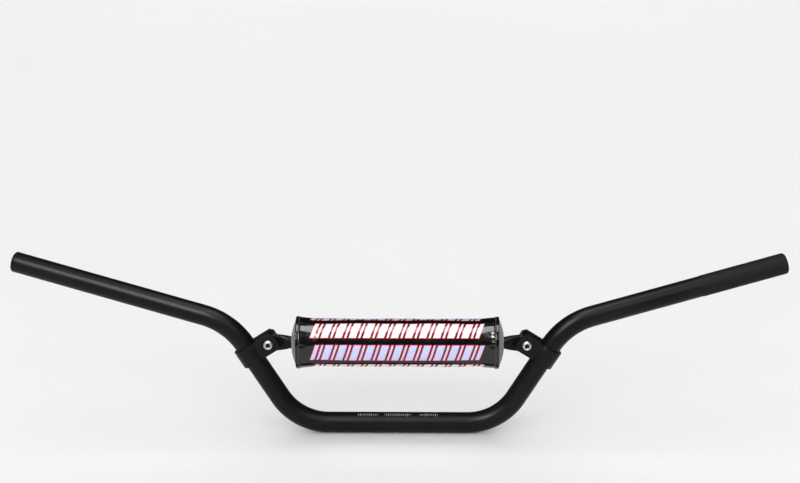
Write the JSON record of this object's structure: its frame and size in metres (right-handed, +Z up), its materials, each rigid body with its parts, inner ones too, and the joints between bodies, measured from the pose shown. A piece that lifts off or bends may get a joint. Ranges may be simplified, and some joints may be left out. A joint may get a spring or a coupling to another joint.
{
  "type": "motorcycle handlebar",
  "caption": "Bent tube handlebar with swept arms, a bolted crossbar between split clamps and a round padded sleeve on the crossbar.",
  "frame": {"origin": "on the tube axis, in the middle of the straight centre section that the riser clamps hold", "axes": "+X along the bar, towards the knurled end (the rider's left hand); +Y the way the arms sweep back, towards the rider; +Z up. Front faces -Y"},
  "size_m": [0.8326, 0.0896, 0.1854],
  "materials": {
    "tube_black": "satin",
    "crossbar_black": "satin",
    "clamp_black": "satin",
    "bolt_steel": "satin",
    "foam_grey": "matte",
    "cover_vinyl": "gloss",
    "end_fabric": "matte",
    "closure_black": "matte"
  },
  "bodies": {
    "bar": {"main_tube": "tube_black", "crossbar": "crossbar_black", "clamp_left": "clamp_black", "clamp_right": "clamp_black", "nut_left": "bolt_steel", "nut_right": "bolt_steel"},
    "pad": {"pad_foam": "foam_grey", "pad_cover": "cover_vinyl", "pad_end_left": "end_fabric", "pad_end_right": "end_fabric", "hook_strip": "closure_black", "loop_strip": "closure_black"},
    "bolt_left": {"bolt_left": "bolt_steel"},
    "bolt_right": {"bolt_right": "bolt_steel"}
  },
  "joints": [
    {"name": "pad_turn", "type": "hinge", "parent": "bar", "child": "pad", "pos_m": [0, 0, 0.0892], "axis": [1, 0, 0], "continuous": true},
    {"name": "bolt_left_turn", "type": "hinge", "parent": "bar", "child": "bolt_left", "pos_m": [-0.137, 0, 0.0892], "axis": [0, 1, 0], "continuous": true},
    {"name": "bolt_right_turn", "type": "hinge", "parent": "bar", "child": "bolt_right", "pos_m": [0.137, 0, 0.0892], "axis": [0, 1, 0], "continuous": true}
  ]
}
